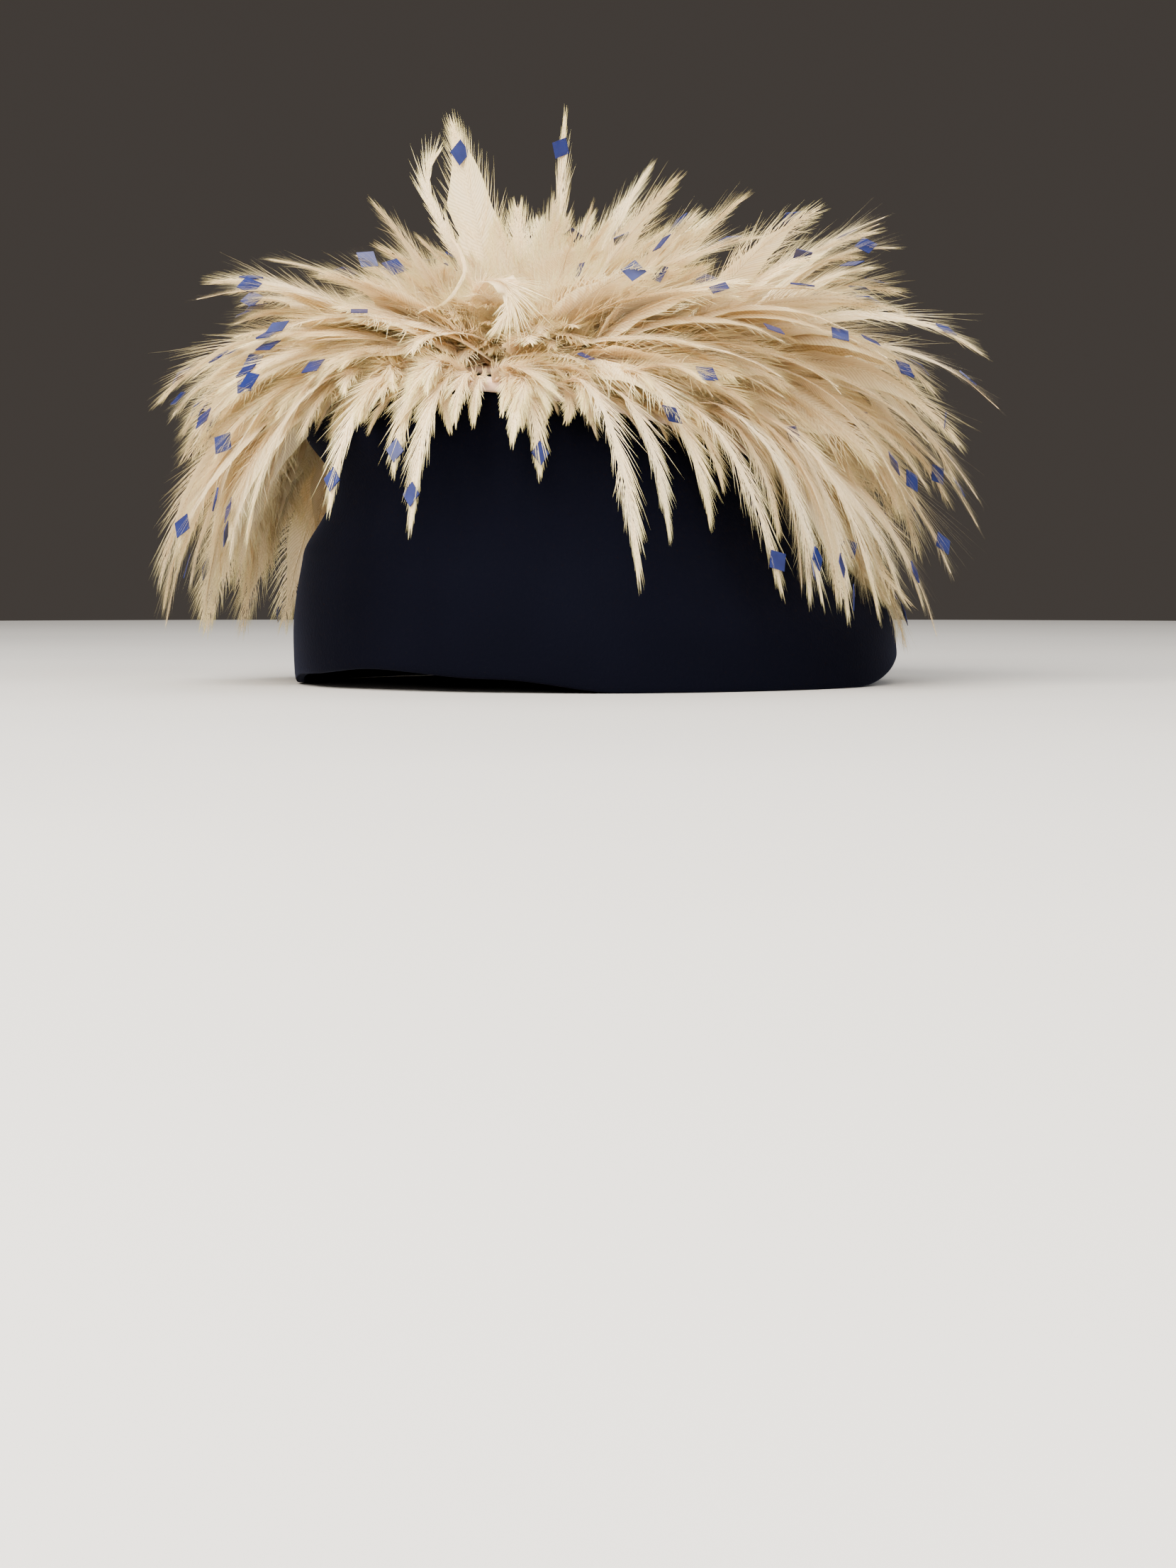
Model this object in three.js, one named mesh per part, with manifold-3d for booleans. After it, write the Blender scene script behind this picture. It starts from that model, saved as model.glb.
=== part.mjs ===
// Cocktail hat: a hollow velvet toque that carries a fringe, a wreath and a crest of cream hackle
// feathers, with blue rhombic chips glued across the main feathers near their tips.
// Millimetres and degrees, +Z up, resting on its rim at z = 0. The hat's front faces -Y and the
// wearer's left is +X. Angles round the hat start at the front and grow towards the wearer's left.
import * as THREE from "three";
import { mergeVertices } from "three/addons/utils/BufferGeometryUtils.js";
import Module from "manifold-3d";

const wasm = await Module();
wasm.setup();

const UP = new THREE.Vector3(0, 0, 1);
const SEAT_GAP = 0.4;

// Velvet shell: one row for each oval section of the outer surface, from the rim to the crown top.
const SHELL_ROWS = [
  { height: 0.0, halfWidth: 112.0, halfLength: 123.0, centreY: 0.0 },
  { height: 2.0, halfWidth: 113.0, halfLength: 124.5, centreY: 0.0 },
  { height: 20.0, halfWidth: 111.5, halfLength: 122.5, centreY: -3.0 },
  { height: 34.0, halfWidth: 105.0, halfLength: 115.5, centreY: -10.5 },
  { height: 54.0, halfWidth: 95.5, halfLength: 105.5, centreY: -19.5 },
  { height: 77.0, halfWidth: 85.0, halfLength: 94.0, centreY: -34.0 },
  { height: 95.0, halfWidth: 77.5, halfLength: 85.5, centreY: -45.0 },
  { height: 107.0, halfWidth: 67.5, halfLength: 74.0, centreY: -47.5 },
  { height: 114.0, halfWidth: 54.0, halfLength: 59.5, centreY: -46.0 },
  { height: 118.0, halfWidth: 36.0, halfLength: 40.0, centreY: -42.0 },
  { height: 119.6, halfWidth: 14.0, halfLength: 15.5, centreY: -40.0 },
];
const APEX = { height: 120.0, centreY: -40.0 };
const OUTER_LEVELS = [0, 1, 2, 3, 3.5, 4, 4.5, 5, 5.5, 6, 6.5, 7, 7.5, 8, 9, 10];
const INNER_LEVELS = [0, 1, 2.5, 4, 4.5, 5, 5.5, 6, 7, 8, 9.5];
const SHELL_SEGMENTS = 48;
const WALL = 2.6;
const HEM_WALL = 3.8;
const HEM_HEIGHT = 14;

// The rim lies flat at both sides and arches a little over the brow and more at the nape.
const RIM_ROWS = [
  { angle: 0, rise: 8 },
  { angle: 26, rise: 5 },
  { angle: 50, rise: 0 },
  { angle: 100, rise: 0 },
  { angle: 138, rise: 12 },
  { angle: 180, rise: 20 },
];
const RIM_RISE_FADE = 70;

// A pressed groove under the front roll of the crown, deepest at the wearer's right front.
const GROOVE = { angle: -42, halfSpan: 88, depth: 10.5, level: 4.95, halfLevels: 1.15 };

// Sewn bands that carry the feathers: the level on the shell at the front and at the back.
const BANDS = {
  fringe: { frontLevel: 7.55, backLevel: 5.1 },
  wreath: { frontLevel: 8.55, backLevel: 6.3 },
};
const BAND_SEGMENTS = 48;
const BAND_HALF_HEIGHT = 4.5;
const BAND_HALF_THICK = 1.5;
const CREST_PAD = { radius: 18, thick: 3.2, segments: 16 };

// Feathers part at this angle and sweep away from it to both sides round the crown. One row for
// each place round the hat, as a turn from the parting: how far the feathers turn aside, and the
// share of their full length, bend and lift that they have there.
const PARTING = 36;
const SWEEP_ROWS = [
  { turn: -180, sweep: 0, wreath: 1.0, fringe: 0.92, bend: 1.0, rise: 0.85 },
  { turn: -130, sweep: -4, wreath: 0.92, fringe: 0.98, bend: 1.12, rise: 0.25 },
  { turn: -84, sweep: -14, wreath: 0.86, fringe: 1.0, bend: 1.25, rise: 0.0 },
  { turn: -42, sweep: -46, wreath: 0.84, fringe: 0.8, bend: 0.8, rise: 0.2 },
  { turn: -1, sweep: -64, wreath: 0.8, fringe: 0.7, bend: 0.4, rise: 0.85 },
  { turn: 1, sweep: 64, wreath: 0.8, fringe: 0.7, bend: 0.4, rise: 0.85 },
  { turn: 40, sweep: 46, wreath: 0.94, fringe: 0.8, bend: 0.65, rise: 0.95 },
  { turn: 80, sweep: 14, wreath: 1.12, fringe: 0.86, bend: 1.0, rise: 1.0 },
  { turn: 110, sweep: 4, wreath: 1.16, fringe: 0.82, bend: 1.1, rise: 1.0 },
  { turn: 180, sweep: 0, wreath: 1.0, fringe: 0.92, bend: 1.0, rise: 0.85 },
];

// Rows of feathers by formula: from which angle, over what span, how many and how they stand.
const TIERS = [
  { band: "fringe", from: 104, span: 246, count: 22, low: -8, lift: -6, droop: 2.4, length: 124, width: 24 },
  { band: "wreath", from: 36, span: 360, count: 22, low: 21, lift: 21, droop: 1.95, length: 110, width: 24 },
  { band: "wreath", from: 43, span: 360, count: 18, low: 30, lift: 42, droop: 1.7, length: 116, width: 24 },
  { band: "wreath", from: 38, span: 360, count: 14, low: 40, lift: 62, droop: 1.2, length: 98, width: 24 },
];
const JITTER = { angle: 0.26, lift: 5, sweep: 7, length: 0.08, roll: 24 };

// Single strands that hang over the velvet at the near front, where the fringe is thin.
const FRONT_STRANDS = [
  { angle: -14, length: 96, width: 12 },
  { angle: 1, length: 102, width: 9 },
  { angle: 15, length: 82, width: 8 },
  { angle: 24, length: 58, width: 8 },
  { angle: 33, length: 92, width: 8 },
  { angle: 46, length: 56, width: 8 },
  { angle: 56, length: 118, width: 9 },
  { angle: 65, length: 88, width: 8 },
  { angle: 75, length: 76, width: 9 },
  { angle: 85, length: 120, width: 10 },
  { angle: 96, length: 124, width: 11 },
];
const STRAND_LIFT = 8;
const STRAND_DROOP = 3.4;

// Upright plumes on the crest pad.
const CREST_PLUMES = [
  { heading: -48, lift: 80, droop: 0.5, length: 98, width: 22, roll: 74 },
  { heading: 126, lift: 87, droop: 0.05, length: 98, width: 9, roll: 58 },
  { heading: -70, lift: 46, droop: 0.7, length: 76, width: 22, roll: 0 },
  { heading: -104, lift: 52, droop: 0.7, length: 72, width: 22, roll: 0 },
  { heading: -142, lift: 64, droop: 0.6, length: 76, width: 22, roll: 0 },
  { heading: 176, lift: 64, droop: 0.6, length: 86, width: 22, roll: 0 },
  { heading: 146, lift: 68, droop: 0.5, length: 90, width: 22, roll: 0 },
  { heading: 106, lift: 60, droop: 0.6, length: 90, width: 22, roll: 0 },
  { heading: 74, lift: 56, droop: 0.7, length: 74, width: 20, roll: 0 },
  { heading: 40, lift: 54, droop: 0.8, length: 58, width: 20, roll: 0 },
  { heading: 6, lift: 54, droop: 0.8, length: 64, width: 20, roll: 0 },
  { heading: -26, lift: 52, droop: 0.7, length: 70, width: 20, roll: 0 },
];

// Short feathers that lie round the foot of the crest and cover the top of the crown.
const CREST_COVER = { count: 7, first: 14, lift: 44, droop: 1.0, length: 58, width: 30 };

// A feather lock: the share of its full width and thickness along its spine, ending in a point.
const LOCK_ROWS = [
  { width: 0.3, thick: 1.0 },
  { width: 0.72, thick: 1.0 },
  { width: 1.0, thick: 0.9 },
  { width: 0.96, thick: 0.75 },
  { width: 0.7, thick: 0.6 },
];
const LOCK_HALF_THICK = 1.6;
const SHELL_CLEARANCE = 4.4;

const CHIP = { length: 9.0, width: 6.6, thick: 0.6, along: 0.84, most: 40, spacing: 13, test: 0.2 };

const VELVET = { color: 0x0b0e1c, roughness: 0.95, metalness: 0 };
const CREAM = { color: 0xe9dcc2, roughness: 0.85, metalness: 0 };
const BLUE = { color: 0x27378c, roughness: 0.4, metalness: 0 };

const radians = THREE.MathUtils.degToRad;

function headingVector(angle) {
  return new THREE.Vector3(Math.sin(radians(angle)), -Math.cos(radians(angle)), 0);
}

function sideVector(angle) {
  return new THREE.Vector3(Math.cos(radians(angle)), Math.sin(radians(angle)), 0);
}

// Smallest signed turn from one angle to another, between -180 and 180.
function turnBetween(from, to) {
  return THREE.MathUtils.euclideanModulo(to - from + 180, 360) - 180;
}

// Repeatable scatter between -1 and 1 for a feather number and a channel number.
function scatter(number, channel) {
  const wave = Math.sin(number * 12.9898 + channel * 78.233) * 43758.5453;
  return 2 * (wave - Math.floor(wave)) - 1;
}

// Eased value of one column of a table at a place along another column.
function easedColumn(rows, along, column, place) {
  let index = 0;
  while (index < rows.length - 2 && place > rows[index + 1][along]) index += 1;
  const [low, high] = [rows[index], rows[index + 1]];
  const share = THREE.MathUtils.smoothstep(place, low[along], high[along]);
  return THREE.MathUtils.lerp(low[column], high[column], share);
}

// Catmull-Rom value of one column of the shell table at a fractional row number.
function shellColumn(column, level) {
  const last = SHELL_ROWS.length - 1;
  const index = Math.min(Math.floor(level), last - 1);
  const t = level - index;
  const row = (n) => SHELL_ROWS[THREE.MathUtils.clamp(n, 0, last)][column];
  const [a, b, c, d] = [row(index - 1), row(index), row(index + 1), row(index + 2)];
  return b + 0.5 * t * (c - a + t * (2 * a - 5 * b + 4 * c - d + t * (3 * (b - c) + d - a)));
}

function grooveDepth(angle, level) {
  const across = turnBetween(GROOVE.angle, angle) / GROOVE.halfSpan;
  const along = (level - GROOVE.level) / GROOVE.halfLevels;
  if (Math.abs(across) >= 1 || Math.abs(along) >= 1) return 0;
  return GROOVE.depth * (1 - across ** 2) ** 2 * (1 - along ** 2) ** 2;
}

// Height of a place on the wall once the arched rim has lifted it.
function liftedHeight(height, angle) {
  const rise = easedColumn(RIM_ROWS, "angle", "rise", Math.abs(turnBetween(0, angle)));
  return height + rise * (1 - THREE.MathUtils.smoothstep(height, 0, RIM_RISE_FADE));
}

// A point of the shell's outer surface.
function shellPoint(angle, level) {
  const height = liftedHeight(shellColumn("height", level), angle);
  const halfWidth = shellColumn("halfWidth", level) - grooveDepth(angle, level);
  const halfLength = shellColumn("halfLength", level) - grooveDepth(angle, level);
  const { x, y } = headingVector(angle);
  return new THREE.Vector3(halfWidth * x, shellColumn("centreY", level) + halfLength * y, height);
}

// Unit vectors at a shell point: round the hat, up the wall and out of the wall.
function shellFrame(angle, level) {
  const low = Math.max(level - 0.02, 0);
  const round = shellPoint(angle + 0.2, level).sub(shellPoint(angle - 0.2, level)).normalize();
  const upward = shellPoint(angle, low + 0.04).sub(shellPoint(angle, low)).normalize();
  const outward = new THREE.Vector3().crossVectors(round, upward).normalize();
  return { round, upward, outward };
}

// A point of the shell's inner surface, with the cloth doubled at the hem.
function liningPoint(angle, level) {
  const point = shellPoint(angle, level);
  const { outward } = shellFrame(angle, level);
  const share = THREE.MathUtils.smoothstep(shellColumn("height", level), 0, HEM_HEIGHT);
  if (level < 1) outward.setZ(0).normalize();
  const wall = level < 1 ? HEM_WALL - 1.6 : THREE.MathUtils.lerp(HEM_WALL, WALL, share);
  return point.addScaledVector(outward, -wall);
}

function geometryFrom(positions, triangles) {
  const geometry = new THREE.BufferGeometry();
  geometry.setAttribute("position", new THREE.Float32BufferAttribute(positions, 3));
  geometry.setIndex(triangles);
  return geometry;
}

// Triangles between neighbouring rings of equal size; with loop the last ring meets the first.
function ringTriangles(rings, size, loop) {
  const triangles = [];
  for (let ring = 0; ring < (loop ? rings : rings - 1); ring += 1) {
    const next = (ring + 1) % rings;
    for (let k = 0; k < size; k += 1) {
      const k2 = (k + 1) % size;
      const corners = [ring * size + k, ring * size + k2, next * size + k2, next * size + k];
      triangles.push(corners[0], corners[1], corners[2], corners[0], corners[2], corners[3]);
    }
  }
  return triangles;
}

// Triangles from a ring to one point; flip turns the faces the other way.
function fanTriangles(first, size, point, flip) {
  const triangles = [];
  for (let k = 0; k < size; k += 1) {
    const k2 = (k + 1) % size;
    triangles.push(...(flip ? [first + k2, first + k, point] : [first + k, first + k2, point]));
  }
  return triangles;
}

// The hollow shell: rings down the inside to the rim and up the outside, with a point at each top.
function shellGeometry() {
  const rings = [
    ...INNER_LEVELS.toReversed().map((level) => ({ level, at: liningPoint })),
    ...OUTER_LEVELS.map((level) => ({ level, at: shellPoint })),
  ];
  const positions = [];
  for (const { level, at } of rings) {
    for (let k = 0; k < SHELL_SEGMENTS; k += 1) {
      positions.push(...at((360 * k) / SHELL_SEGMENTS, level).toArray());
    }
  }
  const inner = rings.length * SHELL_SEGMENTS;
  positions.push(0, APEX.centreY, APEX.height - WALL, 0, APEX.centreY, APEX.height);
  return geometryFrom(positions, [
    ...ringTriangles(rings.length, SHELL_SEGMENTS, false),
    ...fanTriangles(0, SHELL_SEGMENTS, inner, true),
    ...fanTriangles((rings.length - 1) * SHELL_SEGMENTS, SHELL_SEGMENTS, inner + 1, false),
  ]);
}

function bandLevel(band, angle) {
  const { frontLevel, backLevel } = BANDS[band];
  return THREE.MathUtils.lerp(frontLevel, backLevel, (1 - Math.cos(radians(angle))) / 2);
}

// Middle of a band's cross-section at an angle, seated on the shell.
function bandCentre(band, angle) {
  const level = bandLevel(band, angle);
  const offset = SEAT_GAP + BAND_HALF_THICK;
  return shellPoint(angle, level).addScaledVector(shellFrame(angle, level).outward, offset);
}

// A flat strip that runs round the crown.
function bandGeometry(band) {
  const corners = [[-1, -1], [1, -1], [1, 1], [-1, 1]];
  const positions = [];
  for (let k = 0; k < BAND_SEGMENTS; k += 1) {
    const angle = (360 * k) / BAND_SEGMENTS;
    const { upward, outward } = shellFrame(angle, bandLevel(band, angle));
    for (const [up, out] of corners) {
      const corner = bandCentre(band, angle)
        .addScaledVector(upward, up * BAND_HALF_HEIGHT)
        .addScaledVector(outward, out * BAND_HALF_THICK);
      positions.push(...corner.toArray());
    }
  }
  return geometryFrom(positions, ringTriangles(BAND_SEGMENTS, corners.length, true));
}

function crestPadGeometry() {
  const { radius, thick, segments } = CREST_PAD;
  const profile = [[0, 0], [radius - 1, 0], [radius, 1], [radius - 2, thick], [0, thick]];
  const lathe = new THREE.LatheGeometry(profile.map(([r, z]) => new THREE.Vector2(r, z)), segments);
  lathe.rotateX(Math.PI / 2);
  lathe.translate(0, APEX.centreY, APEX.height + SEAT_GAP);
  return lathe;
}

// Shell section sizes against height, for keeping feathers off the velvet.
const SHELL_SAMPLES = Array.from({ length: 101 }, (_, n) => {
  const level = (n / 100) * (SHELL_ROWS.length - 1);
  const columns = ["height", "halfWidth", "halfLength", "centreY"];
  return Object.fromEntries(columns.map((column) => [column, shellColumn(column, level)]));
});

// Moves a point straight out to the clearance where it lies too near the shell.
function clearOfShell(point, clearance) {
  for (const { height, halfWidth, halfLength, centreY } of SHELL_SAMPLES) {
    const [x, y] = [point.x / halfWidth, (point.y - centreY) / halfLength];
    const angle = THREE.MathUtils.radToDeg(Math.atan2(x, -y));
    if (liftedHeight(height, angle) < point.z) continue;
    const grow = Math.max(1, (1 + clearance / halfWidth) / Math.hypot(x, y));
    return point.set(point.x * grow, centreY + (point.y - centreY) * grow, point.z);
  }
  return point;
}

// The spine of a feather: it starts along its heading and lift and bends down along its length.
function featherSpine({ root, heading, lift, droop, length, width, roll }) {
  const steps = LOCK_ROWS.length;
  const clearance = SHELL_CLEARANCE + Math.abs(Math.sin(radians(roll))) * (width / 2);
  const direction = headingVector(heading).multiplyScalar(Math.cos(radians(lift)));
  direction.addScaledVector(UP, Math.sin(radians(lift)));
  const points = [root.clone()];
  for (let step = 0; step < steps; step += 1) {
    const next = points[step].clone().addScaledVector(direction, length / steps);
    points.push(clearOfShell(next, clearance));
    direction.addScaledVector(UP, -droop / steps).normalize();
  }
  return points;
}

// Direction, side and face vectors of a feather at a spine point, turned by its roll.
function spineFrame(feather, spine, index) {
  const before = spine[Math.max(index - 1, 0)];
  const after = spine[Math.min(index + 1, spine.length - 1)];
  const along = after.clone().sub(before).normalize();
  const flat = sideVector(feather.heading);
  const face = new THREE.Vector3().crossVectors(along, flat).normalize();
  const side = new THREE.Vector3().crossVectors(face, along).normalize();
  const roll = radians(feather.roll);
  const turned = side.clone().multiplyScalar(Math.cos(roll)).addScaledVector(face, Math.sin(roll));
  return { along, side: turned, face: new THREE.Vector3().crossVectors(along, turned).normalize() };
}

// A leaf-shaped lock with a four-cornered section, wide in the middle and ending in a point.
function lockGeometry(feather) {
  const spine = featherSpine(feather);
  const positions = [];
  LOCK_ROWS.forEach((row, index) => {
    const { side, face } = spineFrame(feather, spine, index);
    const reach = (row.width * feather.width) / 2;
    const thick = row.thick * LOCK_HALF_THICK;
    for (const [across, out] of [[1, 0], [0, 1], [-1, 0], [0, -1]]) {
      const corner = spine[index].clone().addScaledVector(side, across * reach);
      positions.push(...corner.addScaledVector(face, out * thick).toArray());
    }
  });
  positions.push(...spine.at(-1).toArray());
  const rings = LOCK_ROWS.length;
  return geometryFrom(positions, [
    ...ringTriangles(rings, 4, false),
    ...fanTriangles((rings - 1) * 4, 4, rings * 4, false),
    0, 2, 1, 0, 3, 2,
  ]);
}

function tierFeathers(tier, first) {
  return Array.from({ length: tier.count }, (_, n) => {
    const number = first + n;
    const pitch = tier.span / tier.count;
    const angle = tier.from + pitch * (n + 0.5 + JITTER.angle * scatter(number, 1));
    const turn = turnBetween(PARTING, angle);
    const share = (column) => easedColumn(SWEEP_ROWS, "turn", column, turn);
    return {
      node: `${tier.band}_band`,
      root: bandCentre(tier.band, angle),
      heading: angle + share("sweep") + JITTER.sweep * scatter(number, 2),
      lift: THREE.MathUtils.lerp(tier.low, tier.lift, share("rise")) + JITTER.lift * scatter(number, 3),
      droop: tier.droop * share("bend"),
      length: tier.length * share(tier.band) * (1 + JITTER.length * scatter(number, 4)),
      width: tier.width,
      roll: JITTER.roll * scatter(number, 5),
    };
  });
}

function strandFeather({ angle, length, width }, n) {
  const sweep = 12 * Math.sign(angle - PARTING);
  return {
    node: "fringe_band",
    root: bandCentre("fringe", angle),
    heading: angle + sweep,
    lift: STRAND_LIFT,
    droop: STRAND_DROOP,
    length,
    width,
    roll: 0.5 * JITTER.roll * scatter(n, 6),
  };
}

function crestFeather({ heading, lift, droop, length, width, roll = 0 }, n) {
  const seat = new THREE.Vector3(0, APEX.centreY, APEX.height + SEAT_GAP + CREST_PAD.thick / 2);
  return {
    node: "crest_plumes",
    root: seat.addScaledVector(headingVector(heading), 0.5 * CREST_PAD.radius),
    heading,
    lift,
    droop,
    length,
    width,
    roll: roll + JITTER.roll * scatter(n, 7),
  };
}

function coverPlumes() {
  const { count, first, ...plume } = CREST_COVER;
  return Array.from({ length: count }, (_, n) => ({ ...plume, heading: first + (360 * n) / count }));
}

// All feathers in a fixed order.
function allFeathers() {
  const plumes = [...CREST_PLUMES, ...coverPlumes()];
  const feathers = [...FRONT_STRANDS.map(strandFeather), ...plumes.map(crestFeather)];
  for (const tier of TIERS) feathers.push(...tierFeathers(tier, feathers.length));
  return feathers;
}

// A rhombic plate lying on the outer face of a feather; grow makes it larger all round.
function chipGeometry(feather, grow) {
  const spine = featherSpine(feather);
  const place = CHIP.along * LOCK_ROWS.length;
  const index = Math.floor(place);
  const centre = spine[index].clone().lerp(spine[index + 1], place - index);
  const { side } = spineFrame(feather, spine, index);
  const tail = spine[index + 1].clone().sub(spine[index]).normalize();
  const face = new THREE.Vector3().crossVectors(tail, side).normalize();
  const lift = LOCK_HALF_THICK * LOCK_ROWS.at(-1).thick + 0.3 + CHIP.thick / 2;
  const shape = new THREE.Shape();
  shape.moveTo(CHIP.length / 2 + grow, 0);
  shape.lineTo(0, CHIP.width / 2 + grow);
  shape.lineTo(-CHIP.length / 2 - grow, 0);
  shape.lineTo(0, -CHIP.width / 2 - grow);
  const depth = CHIP.thick + 2 * grow;
  const plate = new THREE.ExtrudeGeometry(shape, { depth, bevelEnabled: false });
  plate.translate(0, 0, -depth / 2);
  const across = new THREE.Vector3().crossVectors(face, tail);
  const turn = new THREE.Matrix4().makeBasis(tail, across, face);
  plate.applyMatrix4(turn.setPosition(centre.addScaledVector(face, lift)));
  return { plate, centre };
}

// A closed solid for joining and cutting, from a geometry's positions alone.
function solidFrom(geometry) {
  const bare = geometry.clone();
  bare.deleteAttribute("normal");
  bare.deleteAttribute("uv");
  const merged = mergeVertices(bare, 1e-4);
  const corners = merged.index.array;
  const triVerts = [];
  for (let t = 0; t < corners.length; t += 3) {
    const [a, b, c] = corners.slice(t, t + 3);
    if (a !== b && b !== c && c !== a) triVerts.push(a, b, c);
  }
  const mesh = new wasm.Mesh({
    numProp: 3,
    vertProperties: merged.getAttribute("position").array,
    triVerts: new Uint32Array(triVerts),
  });
  return new wasm.Manifold(mesh);
}

function geometryFromSolid(solid) {
  const mesh = solid.getMesh();
  return geometryFrom(mesh.vertProperties, [...mesh.triVerts]);
}

function namedMesh(name, geometry, look) {
  const mesh = new THREE.Mesh(geometry, new THREE.MeshStandardMaterial(look));
  mesh.name = name;
  return mesh;
}

// One backing with all of its feathers fused to it; pockets closed in between feathers are filled.
function featherSolid(node, backing, feathers) {
  const locks = feathers.filter((feather) => feather.node === node);
  const joined = locks.reduce((whole, lock) => whole.add(solidFrom(lockGeometry(lock))), solidFrom(backing));
  const shells = joined.decompose();
  return shells.reduce((largest, next) => (next.volume() > largest.volume() ? next : largest));
}

// The numbers of the feathers whose chip lies clear of every solid and of the chips before it.
function chipNumbers(feathers, solids) {
  const order = feathers.map((_, number) => number);
  order.sort((a, b) => scatter(a, 8) - scatter(b, 8));
  const kept = [];
  const centres = [];
  for (const number of order) {
    if (kept.length >= CHIP.most) break;
    const { plate, centre } = chipGeometry(feathers[number], CHIP.test);
    if (centres.some((other) => other.distanceTo(centre) < CHIP.spacing)) continue;
    const chip = solidFrom(plate);
    if (solids.some((solid) => !solid.intersect(chip).isEmpty())) continue;
    kept.push(number);
    centres.push(centre);
  }
  return kept.toSorted((a, b) => a - b);
}

const hat = new THREE.Group();
const feathers = allFeathers();
const shell = shellGeometry();
const solids = {
  fringe_band: featherSolid("fringe_band", bandGeometry("fringe"), feathers),
  wreath_band: featherSolid("wreath_band", bandGeometry("wreath"), feathers),
  crest_plumes: featherSolid("crest_plumes", crestPadGeometry(), feathers),
};
hat.add(namedMesh("toque_shell", shell, VELVET));
for (const [name, solid] of Object.entries(solids)) {
  hat.add(namedMesh(name, geometryFromSolid(solid), CREAM));
}
for (const number of chipNumbers(feathers, [solidFrom(shell), ...Object.values(solids)])) {
  const name = `chip_${String(number).padStart(3, "0")}`;
  hat.add(namedMesh(name, chipGeometry(feathers[number], 0).plate, BLUE));
}

// The origin is the middle of the hat's outline on the surface that it rests on.
const middle = new THREE.Box3().setFromObject(hat).getCenter(new THREE.Vector3());
hat.position.set(-middle.x, -middle.y, 0);

export default hat;
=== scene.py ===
"""Cocktail hat: a navy velvet toque with a wreath of cream hackle feathers and blue chips.

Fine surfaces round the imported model: the velvet shell, the sewn bands, every feather with its own
shaft and barbs, and the chips near the feather tips. Tables are in millimetres and degrees and
repeat the part's own; meshes are made in metres. Angles round the hat start at the front, which
faces -Y, and grow towards the wearer's left, +X.
"""
import math

import bpy
import numpy as np
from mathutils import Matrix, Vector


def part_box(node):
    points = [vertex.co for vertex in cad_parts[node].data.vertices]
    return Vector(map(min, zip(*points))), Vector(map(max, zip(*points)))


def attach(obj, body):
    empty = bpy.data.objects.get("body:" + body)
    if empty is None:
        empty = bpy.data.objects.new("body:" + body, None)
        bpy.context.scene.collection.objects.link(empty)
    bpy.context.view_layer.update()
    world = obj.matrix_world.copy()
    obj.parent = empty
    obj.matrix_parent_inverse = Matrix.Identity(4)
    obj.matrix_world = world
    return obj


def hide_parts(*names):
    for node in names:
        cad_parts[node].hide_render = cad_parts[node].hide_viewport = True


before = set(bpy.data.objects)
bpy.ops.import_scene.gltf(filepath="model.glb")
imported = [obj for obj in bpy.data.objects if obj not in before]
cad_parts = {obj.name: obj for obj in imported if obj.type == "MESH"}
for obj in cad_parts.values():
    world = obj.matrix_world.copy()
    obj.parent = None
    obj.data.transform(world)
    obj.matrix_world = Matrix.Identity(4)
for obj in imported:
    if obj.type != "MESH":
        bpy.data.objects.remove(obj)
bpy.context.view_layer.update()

MM = 0.001
UP = np.array([0.0, 0.0, 1.0])
SEAT_GAP = 0.4

# Velvet shell: a row for each oval section of its outer surface, from the rim to the crown top.
HEIGHT, HALF_WIDTH, HALF_LENGTH, CENTRE_Y = range(4)
SHELL_ROWS = np.array([
    (0.0, 112.0, 123.0, 0.0),
    (2.0, 113.0, 124.5, 0.0),
    (20.0, 111.5, 122.5, -3.0),
    (34.0, 105.0, 115.5, -10.5),
    (54.0, 95.5, 105.5, -19.5),
    (77.0, 85.0, 94.0, -34.0),
    (95.0, 77.5, 85.5, -45.0),
    (107.0, 67.5, 74.0, -47.5),
    (114.0, 54.0, 59.5, -46.0),
    (118.0, 36.0, 40.0, -42.0),
    (119.6, 14.0, 15.5, -40.0),
])
CAD_LEVELS = (0, 1, 2, 3, 3.5, 4, 4.5, 5, 5.5, 6, 6.5, 7, 7.5, 8, 9, 10)
CAD_SEGMENTS, SHELL_SEGMENTS, TOP_LEVEL = 48, 180, 10.0
APEX_HEIGHT, APEX_Y = 120.0, -40.0
WALL, HEM_WALL, HEM_HEIGHT = 2.6, 3.8, 14.0
RIM_ROWS = np.array([(0, 8), (26, 5), (50, 0), (100, 0), (138, 12), (180, 20)], float)
RIM_RISE_FADE = 70.0
GROOVE = {"angle": -42.0, "half_span": 88.0, "depth": 10.5, "level": 4.95, "half_levels": 1.15}

# Sewn bands that carry the feathers: the level on the shell at the front and at the back.
BANDS = {"fringe": (7.55, 5.1), "wreath": (8.55, 6.3)}
BAND_HALF_HEIGHT, BAND_HALF_THICK = 4.5, 1.5
BAND_SEGMENTS, BAND_CORNERS, BAND_ROUNDING = 144, 10, 0.6
PAD_RADIUS, PAD_THICK = 18.0, 3.2

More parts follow.
